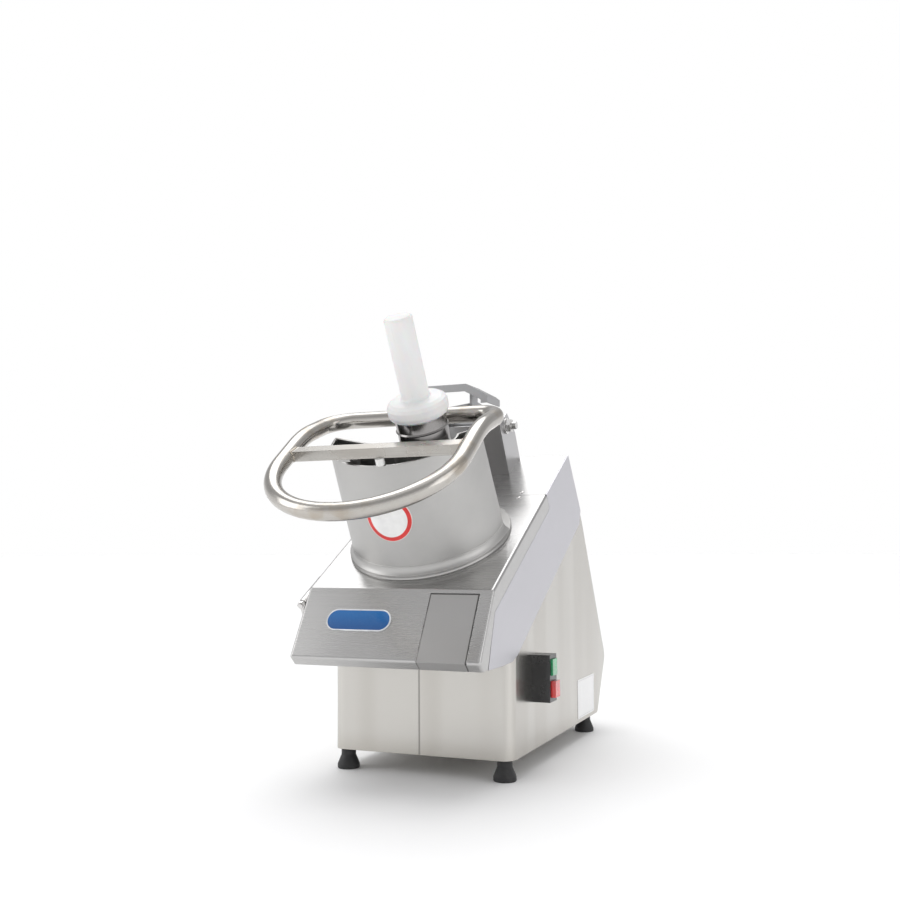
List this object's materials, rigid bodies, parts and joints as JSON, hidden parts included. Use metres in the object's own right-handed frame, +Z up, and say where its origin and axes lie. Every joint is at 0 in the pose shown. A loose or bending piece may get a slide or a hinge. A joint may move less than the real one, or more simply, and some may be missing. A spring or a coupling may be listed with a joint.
{
  "type": "vegetable dicer",
  "caption": "Bench vegetable dicer: sloping steel cutting head with a crescent hopper, round feed tube with pestle, and a ring-shaped press lever over a box drive base",
  "frame": {"origin": "centre of the bounding box on the floor, under the feet", "axes": "+Y to the back and up the slope, +Z up, +X to the operator's right"},
  "size_m": [0.2613, 0.626, 0.5109],
  "materials": {
    "steel_body": "brushed stainless sheet",
    "bright_rod": "smooth bright bar and tube",
    "cast_alloy": "satin machined and blasted",
    "white_plastic": "turned white polyethylene",
    "black_rubber": "matt moulded",
    "dark_plastic": "fine moulded grain",
    "motor_paint": "semi gloss enamel",
    "green_plastic": "gloss moulded",
    "red_plastic": "gloss moulded",
    "blue_badge": "gloss film with a light rim",
    "white_label": "satin label film",
    "red_mark": "gloss film disc"
  },
  "bodies": {
    "base": {"base_shell": "steel_body", "bottom_plate": "steel_body", "rubber_feet": "black_rubber", "foot_studs": "bright_rod", "control_box": "dark_plastic", "run_capacitor": "motor_paint", "switch_housing": "dark_plastic", "cable_gland": "dark_plastic", "data_plate": "white_label", "head_frame": "steel_body", "latch_catch": "steel_body", "cutting_chamber": "cast_alloy", "discharge_chute": "steel_body", "dicing_grid": "cast_alloy", "bearing_housing": "cast_alloy", "bearings": "bright_rod", "shaft_seal": "black_rubber", "drive_belt": "black_rubber", "motor_body": "motor_paint", "motor_mount": "steel_body", "fan_cowl": "dark_plastic", "frame_knuckles": "bright_rod", "hinge_pins": "bright_rod", "hinge_nuts": "bright_rod"},
    "lid": {"lid_shell": "steel_body", "lid_rear_plate": "steel_body", "lid_joint_strap": "steel_body", "lid_rivets": "steel_body", "lid_knuckles": "bright_rod", "hopper": "cast_alloy", "feed_tube": "cast_alloy", "latch_pin": "bright_rod", "latch_spring": "bright_rod", "lever_bracket": "steel_body", "pivot_bolt": "bright_rod", "pivot_nuts": "bright_rod", "lever_spring": "bright_rod", "badge": "blue_badge", "guard_mark": "red_mark"},
    "latch": {"latch_panel": "steel_body"},
    "lever": {"ring_handle": "bright_rod", "crossbar": "steel_body", "lever_bumper": "white_plastic", "press_rod": "steel_body", "press_plate": "cast_alloy", "lever_hub": "steel_body", "hinge_cover": "steel_body"},
    "pestle": {"pestle": "white_plastic"},
    "cutter": {"drive_shaft": "bright_rod", "driven_pulley": "cast_alloy", "slicing_disc": "cast_alloy", "disc_blade": "bright_rod", "ejector_disc": "cast_alloy", "disc_cap": "cast_alloy"},
    "rotor": {"motor_shaft": "bright_rod", "motor_pulley": "cast_alloy", "motor_fan": "white_plastic"},
    "green_key": {"green_button": "green_plastic"},
    "red_key": {"red_button": "red_plastic"}
  },
  "joints": [
    {"name": "lid_hinge", "type": "hinge", "parent": "base", "child": "lid", "pos_m": [-0.12545, -0.04923, 0.26524], "axis": [0, -0.866, -0.5], "range_deg": [0, 100]},
    {"name": "latch_turn", "type": "hinge", "parent": "lid", "child": "latch", "pos_m": [0.0611, -0.17277, 0.17663], "axis": [-1, 0, 0], "range_deg": [0, 20], "stiffness_Nm_per_rad": 0.4},
    {"name": "lever_turn", "type": "hinge", "parent": "lid", "child": "lever", "pos_m": [-0.00915, 0.07016, 0.41846], "axis": [-1, 0, 0], "range_deg": [0, 12]},
    {"name": "pestle_slide", "type": "slide", "parent": "lid", "child": "pestle", "axis": [0, -0.5, 0.866], "range_m": [0, 0.15]},
    {"name": "drive_spin", "type": "hinge", "parent": "base", "child": "cutter", "pos_m": [-0.00915, -0.03766, 0.2292], "axis": [0, -0.5, 0.866], "continuous": true},
    {"name": "motor_spin", "type": "hinge", "parent": "base", "child": "rotor", "pos_m": [-0.00915, 0.14485, 0.2191], "axis": [0, -0.5, 0.866], "continuous": true},
    {"name": "green_press", "type": "slide", "parent": "base", "child": "green_key", "axis": [-1, 0, 0], "range_m": [0, 0.003], "stiffness_N_per_m": 500},
    {"name": "red_press", "type": "slide", "parent": "base", "child": "red_key", "axis": [-1, 0, 0], "range_m": [0, 0.003], "stiffness_N_per_m": 500}
  ],
  "couplings": [
    {"joint": "motor_spin", "follows": "drive_spin", "ratio": 5}
  ]
}
